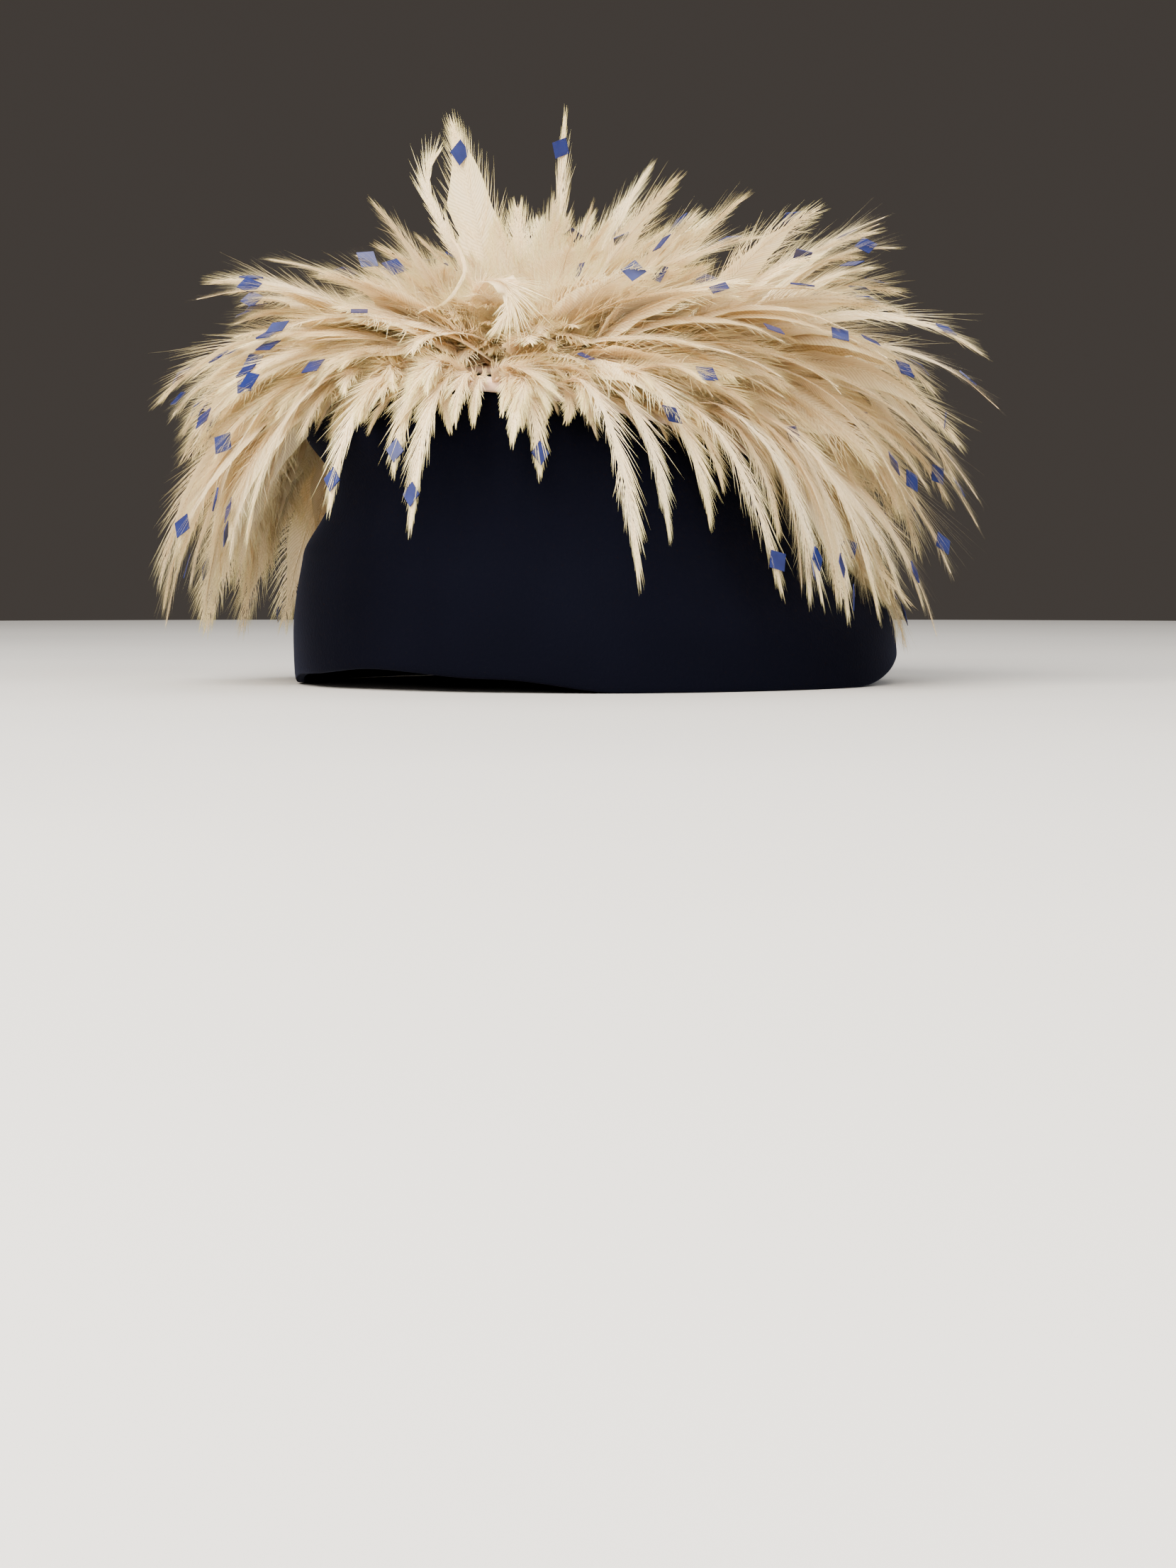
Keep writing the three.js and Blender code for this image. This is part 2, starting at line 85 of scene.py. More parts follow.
# How feathers turn aside from the parting, and their share of full length, bend and lift, by turn.
PARTING = 36.0
VIEW_TURN = np.float64(42.0)
SWEEP, WREATH_SHARE, FRINGE_SHARE, BEND, RISE = range(1, 6)
SWEEP_ROWS = np.array([
    (-180, 0, 1.0, 0.92, 1.0, 0.85),
    (-130, -4, 0.92, 0.98, 1.12, 0.25),
    (-84, -14, 0.86, 1.0, 1.25, 0.0),
    (-42, -46, 0.84, 0.8, 0.8, 0.2),
    (-1, -64, 0.8, 0.7, 0.4, 0.85),
    (1, 64, 0.8, 0.7, 0.4, 0.85),
    (40, 46, 0.94, 0.8, 0.65, 0.95),
    (80, 14, 1.12, 0.86, 1.0, 1.0),
    (110, 4, 1.16, 0.82, 1.1, 1.0),
    (180, 0, 1.0, 0.92, 1.0, 0.85),
])

# Rows of feathers: band, first angle, span, count, lowest lift, full lift, droop, length and width.
TIERS = (
    ("fringe", 104, 246, 22, -8, -6, 2.4, 124, 24),
    ("wreath", 36, 360, 22, 21, 21, 1.95, 110, 24),
    ("wreath", 43, 360, 18, 30, 42, 1.7, 116, 24),
    ("wreath", 38, 360, 14, 40, 62, 1.2, 98, 24),
)
JITTER = {"angle": 0.26, "lift": 5.0, "sweep": 7.0, "length": 0.08, "roll": 24.0}

# Single strands over the velvet at the near front: angle, length and width.
FRONT_STRANDS = (
    (-14, 96, 12), (1, 102, 9), (15, 82, 8), (24, 58, 8), (33, 92, 8), (46, 56, 8),
    (56, 118, 9), (65, 88, 8), (75, 76, 9), (85, 120, 10), (96, 124, 11),
)
STRAND_LIFT, STRAND_DROOP, STRAND_SWEEP, STRAND_CORE = 8.0, 3.4, 12.0, 0.26
FULL_FRINGE = 80.0

# Upright plumes on the crest pad: heading, lift, droop, length, width and roll.
CREST_PLUMES = (
    (-48, 80, 0.5, 98, 22, 74), (126, 87, 0.05, 98, 9, 58), (-70, 46, 0.7, 76, 22, 0),
    (-104, 52, 0.7, 72, 22, 0), (-142, 64, 0.6, 76, 22, 0), (176, 64, 0.6, 86, 22, 0),
    (146, 68, 0.5, 90, 22, 0), (106, 60, 0.6, 90, 22, 0), (74, 56, 0.7, 74, 20, 0),
    (40, 54, 0.8, 58, 20, 0), (6, 54, 0.8, 64, 20, 0), (-26, 52, 0.7, 70, 20, 0),
)
PLUME_LOOKS = {0: {"width": 27.0, "core": 0.88}, 1: {"width": 11.0, "core": 0.3}}
COVER_COUNT, COVER_FIRST = 7, 14.0
COVER_PLUME = (44, 1.0, 58, 30, 0)

# Single feathers that stand out in the picture: width, then spine points as distance to the right
# of the rim's middle, distance towards the viewer, and height.
SINGLE_FEATHERS = {
    "curl": (4.5, (
        (-44, 84, 133), (-47, 99, 150), (-54, 106, 164), (-60, 108, 176), (-61, 108, 186), (-56, 106, 196),
    )),
    "hook": (13.0, (
        (-46, 98, 138), (-42, 112, 146), (-35, 120, 147), (-31, 122, 143), (-33, 120, 135), (-39, 118, 128),
    )),
    "quill": (0.8, (
        (-54, 108, 164), (-50, 111, 159), (-48, 112, 152), (-50, 112, 146), (-54, 111, 141), (-59, 108, 138),
    )),
}
SINGLE_ROLL = 10.0
SPINE_STEPS = 5
SHELL_CLEARANCE = 4.4

# Feathers added between the main ones: how many to each, and how far they stray.
EXTRA = {"fringe": 4, "wreath": 5, "crest": 4}
STRAY = {"angle": 9.0, "heading": 9.0, "lift": 9.0, "bow": 0.35, "roll": 14.0}
STRAY_LENGTH = (0.55, 0.97)
STRAY_WIDTH = (1.1, 1.7)
STRAY_DROOP = (0.95, 1.5)
STRAY_ROOT_TURN, STRAY_ROOT_REACH = 6.0, (0.1, 0.9)
TWIST = 16.0

# Short feathers: ranges of lift, droop, length and width, then how far they roll and bow.
SHORT_FEATHERS = {
    "down": ((0.0, 45.0), (1.4, 2.6), (24.0, 54.0), (7.0, 13.0), 14.0, 0.5),
    "wreath_puff": ((25.0, 70.0), (1.2, 2.2), (38.0, 62.0), (24.0, 32.0), 12.0, 0.5),
    "front_puff": ((25.0, 70.0), (0.9, 1.7), (40.0, 60.0), (28.0, 38.0), 10.0, 0.6),
    "parting_puff": ((30.0, 75.0), (1.2, 2.0), (26.0, 42.0), (22.0, 32.0), 10.0, 0.0),
    "crown_puff": ((60.0, 84.0), (0.3, 0.9), (46.0, 66.0), (18.0, 26.0), 10.0, 0.0),
}
DOWN_COUNT, DOWN_FROM, DOWN_SPAN, DOWN_CORE = 150, -50.0, 170.0, 0.4
DOWN_ASIDE = (-15.0, 75.0)
PUFF_COUNT, PUFF_STRAY, PUFF_SEAT = 110, 20.0, 2.0
FRONT_PUFFS, FRONT_SPAN, FRONT_STRAY = 40, 110.0, 16.0
FRONT_INWARD, FRONT_ASIDE = (0.0, 0.7), (0.0, 1.1)
PARTING_PUFFS, PARTING_SPAN, PARTING_STRAY = 28, (-26.0, 26.0), 28.0
PARTING_INWARD = (0.0, 0.5)
CROWN_PUFFS, CROWN_REACH = 24, (0.1, 0.6)
PUFF_EDGE = 0.9
FLOOR_GAP, FLOOR_EASE = 5.0, 16.0

# A feather: a close vane beside the shaft and loose barbs that reach past it.
VANE_ROWS = np.array([
    (0.0, 0.25), (0.1, 0.5), (0.3, 1.0), (0.55, 1.0), (0.76, 0.8), (0.9, 0.45), (1.0, 0.12),
])
CORE_SHARE = 0.66
CORE_TAPER = (0.5, 0.98)
CORE_RAGGED = (0.75, 1.1)
WIDE_CORE, WIDE_TAPER = 0.8, (0.7, 1.04)
VANE_STATIONS, VANE_COLUMNS, VANE_START = 15, 5, 0.08
MAIN_CUP, STRAY_CUP = (0.05, 0.15), (0.05, 0.4)

# Loose barbs: their place on the shaft, their angle to it, which closes in narrow feathers and
# towards the tip, how far they reach, and how they clump and curl.
BARBS, BARB_START, BARB_RUN = 120, 0.03, 0.9
BARB_ANGLE, BARB_CLOSING = (8.0, 40.0), (3.0, 19.0)
BARB_ANGLE_LIMITS, BARB_ANGLE_STRAY = (9.0, 70.0), 5.0
FULL_WIDTH, LEAST_SPREAD = 24.0, 0.35
CLUMP_RATES, CLUMP_SHARE, CLUMP_TURN, CLUMP_REACH = (21.0, 71.0), 0.6, 4.0, 0.3
EDGE_RATE, EDGE_WAVE = 17.0, 0.08
BARB_OVERREACH, BARB_REACH, BARB_LEAST = 1.2, (0.7, 1.1), 0.3
BARB_ADVANCE, BARB_STOP, TIP_OVERREACH, END_LEAST = 1.15, (0.3, 1.0), 2.0, 0.14
BARB_CURL, ROOT_CURL, BARB_RISE = 0.16, 0.5, (-0.5, 0.7)
SIDE_BEND, FORWARD_BEND = 0.2, 0.35
BARB_STATIONS = np.array([0.06, 0.55, 1.0])
BARB_GIRTH = np.array([0.17, 0.13, 0.0])
SHAFT_SIDES, SHAFT_STATIONS, SHAFT_END = 3, 9, 0.97
SHAFT_GIRTH, SHAFT_GIRTH_SHARE, SHAFT_TAPER = 0.16, 0.016, 0.8
# Painted shade between the barbs: how far the darker streaks slant and how close they lie.
STREAK_SLANT, STREAK_RATE = 0.12, 420.0

# Where vanes, barbs and shafts lie across a feather's strip of the baking chart.
CHART_BANDS = ((0.05, 0.6), (0.38, 0.5), (0.95, 0.5))
CHART_MARGIN = 0.01

# Chips near the tips of added feathers: size, place on the feather, and which feathers have one.
CHIP_LENGTH, CHIP_WIDTH, CHIP_THICK, CHIP_ALONG, CHIP_LIFT = 10.0, 7.6, 0.6, 0.88, 2.6
CHIP_CONE, CHIP_LEAST_REACH, CHIP_APART, CHIP_OVER_SHARE = 4.0, 0.92, 8.5, 1.0
CHIP_SLIDE, CHIP_TURN, CHIP_OUTWARD, CHIP_SWAY = (-0.05, 0.04), 0.3, 0.85, 0.7
COVER_STATIONS = np.linspace(0.3, 0.9, 10)
HAT_MIDDLE = np.array([0.0, -30.0, 85.0])


def unit(vectors):
    return vectors / np.linalg.norm(vectors, axis=-1, keepdims=True)


def heading_vector(angle):
    turn = np.radians(angle)
    return np.stack([np.sin(turn), -np.cos(turn), np.zeros_like(turn)], axis=-1)


def side_vector(angle):
    turn = np.radians(angle)
    return np.stack([np.cos(turn), np.sin(turn), np.zeros_like(turn)], axis=-1)


def turn_between(start, end):
    """Smallest signed turn from one angle to another, between -180 and 180."""
    return np.mod(np.asarray(end, float) - start + 180.0, 360.0) - 180.0


def scatter(number, channel):
    """Repeatable scatter between -1 and 1 for a feather number and a channel number."""
    wave = math.sin(number * 12.9898 + channel * 78.233) * 43758.5453
    return 2.0 * (wave - math.floor(wave)) - 1.0


def smoothstep(value, low, high):
    share = np.clip((value - low) / (high - low), 0.0, 1.0)
    return share * share * (3.0 - 2.0 * share)


def eased(rows, column, place):
    """One column of a table, eased between its rows along the first column."""
    place = np.asarray(place, float)
    index = np.clip(np.searchsorted(rows[:, 0], place) - 1, 0, len(rows) - 2)
    low, high = rows[index], rows[index + 1]
    share = smoothstep(place, low[..., 0], high[..., 0])
    return low[..., column] + (high[..., column] - low[..., column]) * share


def catmull(a, b, c, d, t):
    return b + 0.5 * t * (c - a + t * (2 * a - 5 * b + 4 * c - d + t * (3 * (b - c) + d - a)))


def shell_column(column, level):
    """One column of the shell table at fractional row numbers."""
    level = np.asarray(level, float)
    last = len(SHELL_ROWS) - 1
    index = np.minimum(np.floor(level).astype(int), last - 1)
    rows = [SHELL_ROWS[np.clip(index + k, 0, last), column] for k in (-1, 0, 1, 2)]
    return catmull(*rows, level - index)


def lifted_height(height, angle):
    """Height of a place on the wall once the arched rim has lifted it."""
    rise = eased(RIM_ROWS, 1, np.abs(turn_between(0.0, angle)))
    return height + rise * (1.0 - smoothstep(height, 0.0, RIM_RISE_FADE))


def groove_depth(angle, level):
    across = turn_between(GROOVE["angle"], angle) / GROOVE["half_span"]
    along = (level - GROOVE["level"]) / GROOVE["half_levels"]
    fade = np.clip(1.0 - across**2, 0.0, 1.0) ** 2 * np.clip(1.0 - along**2, 0.0, 1.0) ** 2
    return GROOVE["depth"] * fade


def shell_point(angle, level):
    """Points of the shell's outer surface, in millimetres about the rim's middle."""
    angle, level = np.broadcast_arrays(np.asarray(angle, float), np.asarray(level, float))
    groove = groove_depth(angle, level)
    heading = heading_vector(angle)
    x = (shell_column(HALF_WIDTH, level) - groove) * heading[..., 0]
    y = shell_column(CENTRE_Y, level) + (shell_column(HALF_LENGTH, level) - groove) * heading[..., 1]
    return np.stack([x, y, lifted_height(shell_column(HEIGHT, level), angle)], axis=-1)


def shell_frame(angle, level):
    """Unit vectors at shell points: up the wall and out of the wall."""
    angle, level = np.broadcast_arrays(np.asarray(angle, float), np.asarray(level, float))
    low = np.maximum(level - 0.02, 0.0)
    around = unit(shell_point(angle + 0.2, level) - shell_point(angle - 0.2, level))
    upward = unit(shell_point(angle, low + 0.04) - shell_point(angle, low))
    return upward, unit(np.cross(around, upward))


def lining_point(angle, level):
    """Points of the shell's inner surface, with the cloth doubled at the hem."""
    outward = shell_frame(angle, level)[1].copy()
    level = np.broadcast_to(np.asarray(level, float), outward.shape[:-1])
    edge = level < 1.0
    outward[edge, 2] = 0.0
    wall = HEM_WALL + (WALL - HEM_WALL) * smoothstep(shell_column(HEIGHT, level), 0.0, HEM_HEIGHT)
    wall = np.where(edge, wall - 1.6 * (1.0 - level), wall)
    return shell_point(angle, level) - unit(outward) * wall[..., None]


def cad_shift():
    """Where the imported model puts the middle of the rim, in millimetres."""
    angles = np.arange(CAD_SEGMENTS) * 360.0 / CAD_SEGMENTS
    points = shell_point(angles[None, :], np.array(CAD_LEVELS, float)[:, None]).reshape(-1, 3)
    low, high = (np.array(corner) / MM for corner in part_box("toque_shell"))
    shift = (low + high) / 2.0 - (points.min(0) + points.max(0)) / 2.0
    return shift * (1.0, 1.0, 0.0)


SHIFT = cad_shift()


def metres(points):
    return (np.asarray(points) + SHIFT) * MM


def band_level(band, angle):
    front, back = BANDS[band]
    return front + (back - front) * (1.0 - np.cos(np.radians(angle))) / 2.0


def band_centre(band, angle):
    """Middle of a band's cross-section at an angle, seated on the shell."""
    level = band_level(band, angle)
    return shell_point(angle, level) + shell_frame(angle, level)[1] * (SEAT_GAP + BAND_HALF_THICK)


def feather(group, root, heading, lift, droop, length, width, roll):
    return {"group": group, "root": np.asarray(root, float), "heading": float(heading), "lift": lift,
            "droop": droop, "length": length, "width": width, "roll": roll, "bow": 0.0,
            "share": 1.0, "tier": 0, "alone": False, "core": CORE_SHARE}


def crest_root(heading, reach=0.5):
    seat = np.array([0.0, APEX_Y, APEX_HEIGHT + SEAT_GAP + PAD_THICK / 2.0])
    return seat + heading_vector(np.float64(heading)) * reach * PAD_RADIUS


def main_feathers():
    """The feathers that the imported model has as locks, in the same order."""
    rows = []
    for n, (angle, length, width) in enumerate(FRONT_STRANDS):
        heading = angle + STRAND_SWEEP * np.sign(angle - PARTING)
        roll = 0.5 * JITTER["roll"] * scatter(n, 6)
        root = band_centre("fringe", float(angle))
        rows.append(feather("fringe", root, heading, STRAND_LIFT, STRAND_DROOP, length,
                            width, roll))
        rows[-1].update(alone=angle < FULL_FRINGE, core=STRAND_CORE, angle=float(angle))
    cover = [(COVER_FIRST + 360.0 * n / COVER_COUNT, *COVER_PLUME) for n in range(COVER_COUNT)]
    for n, (heading, lift, droop, length, width, roll) in enumerate([*CREST_PLUMES, *cover]):
        roll = roll + JITTER["roll"] * scatter(n, 7)
        rows.append(feather("crest", crest_root(heading), heading, lift, droop, length, width, roll))
        if n in PLUME_LOOKS:
            rows[-1].update(PLUME_LOOKS[n], alone=True)
    for number, tier in enumerate(TIERS):
        rows += tier_feathers(tier, len(rows))
        for row in rows[-tier[3]:]:
            row["tier"] = number
    return rows


def tier_feathers(tier, first):
    band, start, span, count, low, lift, droop, length, width = tier
    rows = []
    for n in range(count):
        number = first + n
        angle = start + span / count * (n + 0.5 + JITTER["angle"] * scatter(number, 1))
        turn = turn_between(PARTING, angle)
        share = eased(SWEEP_ROWS, WREATH_SHARE if band == "wreath" else FRINGE_SHARE, turn)
        rows.append(feather(
            band,
            band_centre(band, angle),
            angle + eased(SWEEP_ROWS, SWEEP, turn) + JITTER["sweep"] * scatter(number, 2),
            low + (lift - low) * eased(SWEEP_ROWS, RISE, turn) + JITTER["lift"] * scatter(number, 3),
            droop * eased(SWEEP_ROWS, BEND, turn),
            length * share * (1.0 + JITTER["length"] * scatter(number, 4)),
            width,
            JITTER["roll"] * scatter(number, 5),
        ))
        rows[-1]["angle"] = angle
    return rows


def stray_feathers(main, rng):
    """More feathers beside the main ones, mostly shorter and turned a little aside."""
    rows = []
    for base in main:
        if base["alone"]:
            continue
        for _ in range(EXTRA[base["group"]]):
            row = dict(base)
            turn = rng.uniform(-1.0, 1.0) * STRAY["angle"]
            if base["group"] == "crest":
                heading = base["heading"] + STRAY_ROOT_TURN * turn
                row["root"] = crest_root(heading, rng.uniform(*STRAY_ROOT_REACH))
            else:
                row["root"] = band_centre(base["group"], base["angle"] + turn)
            row["heading"] = base["heading"] + turn + rng.normal() * STRAY["heading"]
            row["lift"] = base["lift"] + (0.5 - abs(rng.normal())) * STRAY["lift"]
            row["share"] = rng.uniform(*STRAY_LENGTH)
            row["length"] = base["length"] * row["share"]
            row["droop"] = base["droop"] * rng.uniform(*STRAY_DROOP)
            row["width"] = base["width"] * rng.uniform(*STRAY_WIDTH)
            row["roll"] = rng.normal() * STRAY["roll"]
            row["bow"] = rng.normal() * STRAY["bow"]
            rows.append(row)
    return rows


def short_feather(kind, root, heading, rng):
    lift, droop, length, width, roll, bow = SHORT_FEATHERS[kind]
    row = feather(
        kind, root, heading, rng.uniform(*lift), rng.uniform(*droop), rng.uniform(*length),
        rng.uniform(*width), rng.normal() * roll,
    )
    if bow > 0.0:
        row["bow"] = rng.normal() * bow
    return row


def down_feathers(rng):
    """Short soft feathers along the crown's edge at the near front, combed from the parting."""
    rows = []
    for n in range(DOWN_COUNT):
        angle = DOWN_FROM + DOWN_SPAN * (n + rng.uniform()) / DOWN_COUNT
        heading = angle + np.sign(angle - PARTING) * rng.uniform(*DOWN_ASIDE)
        rows.append(short_feather("down", band_centre("fringe", angle), heading, rng))
        rows[-1]["core"] = DOWN_CORE
    return rows


def puff_root(angle, inward):
    """A place between the wreath's band and the crest's pad."""
    root = band_centre("wreath", angle) * (1.0 - inward) + crest_root(angle, PUFF_EDGE) * inward
    return root + UP * PUFF_SEAT


def puff_feathers(rng):
    """Short broad feathers that fill the wreath, its parting and the middle of the crest."""
    rows = []
    for n in range(PUFF_COUNT):
        angle = 360.0 * (n + rng.uniform()) / PUFF_COUNT
        root = puff_root(angle, rng.uniform(0.0, 1.0))
        sweep = eased(SWEEP_ROWS, SWEEP, turn_between(PARTING, angle))
        heading = angle + sweep + rng.normal() * PUFF_STRAY
        rows.append(short_feather("wreath_puff", root, heading, rng))
    for n in range(FRONT_PUFFS):
        turn = FRONT_SPAN * ((n + rng.uniform()) / FRONT_PUFFS - 0.5)
        angle = PARTING + turn
        root = puff_root(angle, rng.uniform(*FRONT_INWARD))
        heading = angle + rng.uniform(*FRONT_ASIDE) * turn + rng.normal() * FRONT_STRAY
        rows.append(short_feather("front_puff", root, heading, rng))
    for _ in range(PARTING_PUFFS):
        angle = PARTING + rng.uniform(*PARTING_SPAN)
        root = puff_root(angle, rng.uniform(*PARTING_INWARD))
        heading = angle + rng.normal() * PARTING_STRAY
        rows.append(short_feather("parting_puff", root, heading, rng))
    for n in range(CROWN_PUFFS):
        heading = 360.0 * (n + rng.uniform()) / CROWN_PUFFS
        root = crest_root(heading, rng.uniform(*CROWN_REACH))
        rows.append(short_feather("crown_puff", root, heading, rng))
    return rows


SHELL_SAMPLES = np.stack(
    [shell_column(column, np.linspace(0.0, TOP_LEVEL, 101)) for column in range(4)], axis=-1
)


def clear_of_shell(points, clearance):
    """Moves points straight out to the clearance where they lie too near the shell."""
    height, half_width, half_length, centre_y = SHELL_SAMPLES.T
    x = points[:, None, 0] / half_width
    y = (points[:, None, 1] - centre_y) / half_length
    above = lifted_height(height, np.degrees(np.arctan2(x, -y))) >= points[:, None, 2]
    found = above.any(axis=1)
    index = above.argmax(axis=1)
    rows = np.arange(len(points))
    reach = np.hypot(x[rows, index], y[rows, index])
    grow = np.maximum(1.0, (1.0 + clearance / half_width[index]) / reach)
    grow = np.where(found, grow, 1.0)
    moved = points.copy()
    moved[:, 0] *= grow
    moved[:, 1] = centre_y[index] + (points[:, 1] - centre_y[index]) * grow
    return np.where(found[:, None], moved, points)


def column_of(rows, name):
    return np.array([row[name] for row in rows], float)


def feather_spines(rows):
    """Spine points of each feather: it starts along its heading and lift and bends down."""
    heading, lift = column_of(rows, "heading"), np.radians(column_of(rows, "lift"))
    roll = np.abs(np.sin(np.radians(column_of(rows, "roll"))))
    clearance = SHELL_CLEARANCE + roll * column_of(rows, "width") / 2.0
    direction = heading_vector(heading) * np.cos(lift)[:, None] + UP * np.sin(lift)[:, None]
    step = column_of(rows, "length")[:, None] / SPINE_STEPS
    bend = side_vector(heading) * column_of(rows, "bow")[:, None]
    bend = bend - UP * column_of(rows, "droop")[:, None]
    points = [column_of(rows, "root")]
    for _ in range(SPINE_STEPS):
        points.append(clear_of_shell(points[-1] + direction * step, clearance))
        direction = unit(direction + bend / SPINE_STEPS)
    return np.stack(points, axis=1)


def above_floor(points):
    """Eases points that come near the floor so that they stay above it."""
    low = np.minimum(points[..., 2], FLOOR_EASE)
    room = FLOOR_EASE - FLOOR_GAP
    eased_height = FLOOR_GAP + room * np.exp((low - FLOOR_EASE) / room)
    points[..., 2] = np.where(points[..., 2] < FLOOR_EASE, eased_height, points[..., 2])
    return points


def spine_at(spines, place):
    """Points and directions on each spine at shares of its length."""
    first, last = 2 * spines[:, :1] - spines[:, 1:2], 2 * spines[:, -1:] - spines[:, -2:-1]
    padded = np.concatenate([first, spines, last], axis=1)
    index = np.minimum((place * SPINE_STEPS).astype(int), SPINE_STEPS - 1)
    t = (place * SPINE_STEPS - index)[..., None]
    rows = np.arange(len(spines))[:, None]
    a, b, c, d = (padded[rows, index + k] for k in range(4))
    slope = c - a + t * (2 * (2 * a - 5 * b + 4 * c - d) + 3 * t * (3 * (b - c) + d - a))
    return catmull(a, b, c, d, t), unit(slope)


def vane_frame(rows, along, place):
    """Side and face vectors of each feather's vane at directions along its spine."""
    flat = side_vector(column_of(rows, "heading"))[:, None, :]
    face = unit(np.cross(along, flat))
    side = np.cross(face, along)
    roll = column_of(rows, "roll")[:, None] + column_of(rows, "twist")[:, None] * place
    roll = np.radians(roll)[..., None]
    turned = side * np.cos(roll) + face * np.sin(roll)
    return turned, np.cross(along, turned)


def vane_reach(rows, place):
    """Half-width of each feather at shares of its length."""
    return column_of(rows, "width")[:, None] / 2.0 * np.interp(place, *VANE_ROWS.T)


def vane_geometry(rows, spines, rng):
    """Points, triangles and shading values of the close vanes, a cupped strip each."""
    count = len(rows)
    place = np.linspace(VANE_START, 1.0, VANE_STATIONS)
    place = np.broadcast_to(place, (count, VANE_STATIONS))
    base, along = spine_at(spines, place)
    side, face = vane_frame(rows, along, place)
    half = (vane_reach(rows, place) * column_of(rows, "core")[:, None])[..., None]
    wide = column_of(rows, "core")[:, None] > WIDE_CORE
    taper = np.where(wide, smoothstep(place, *WIDE_TAPER), smoothstep(place, *CORE_TAPER))
    half = half * (1.0 - taper)[..., None]
    half = half * rng.uniform(*CORE_RAGGED, (count, VANE_STATIONS, 2))
    across = np.linspace(-1.0, 1.0, VANE_COLUMNS)
    half = np.where(across < 0.0, half[..., :1], half[..., 1:])
    cup = column_of(rows, "cup")[:, None, None]
    points = (base[:, :, None] + side[:, :, None] * (half * across)[..., None]
              - face[:, :, None] * (half * cup * across**2)[..., None])
    a = (np.arange(VANE_STATIONS - 1)[:, None] * VANE_COLUMNS + np.arange(VANE_COLUMNS - 1)).ravel()
    d = a + VANE_COLUMNS
    cells = [np.stack([a, a + 1, d + 1], -1), np.stack([a, d + 1, d], -1)]
    starts = np.arange(count) * VANE_STATIONS * VANE_COLUMNS
    triangles = starts[:, None, None] + np.concatenate(cells)[None]
    shape = half.shape
    return (points.reshape(-1, 3), triangles.reshape(-1, 3),
            np.broadcast_to(place[..., None], shape).ravel(),
            np.broadcast_to(np.abs(across) * CORE_SHARE, shape).ravel(),
            np.broadcast_to(np.arange(count)[:, None, None], shape).ravel())


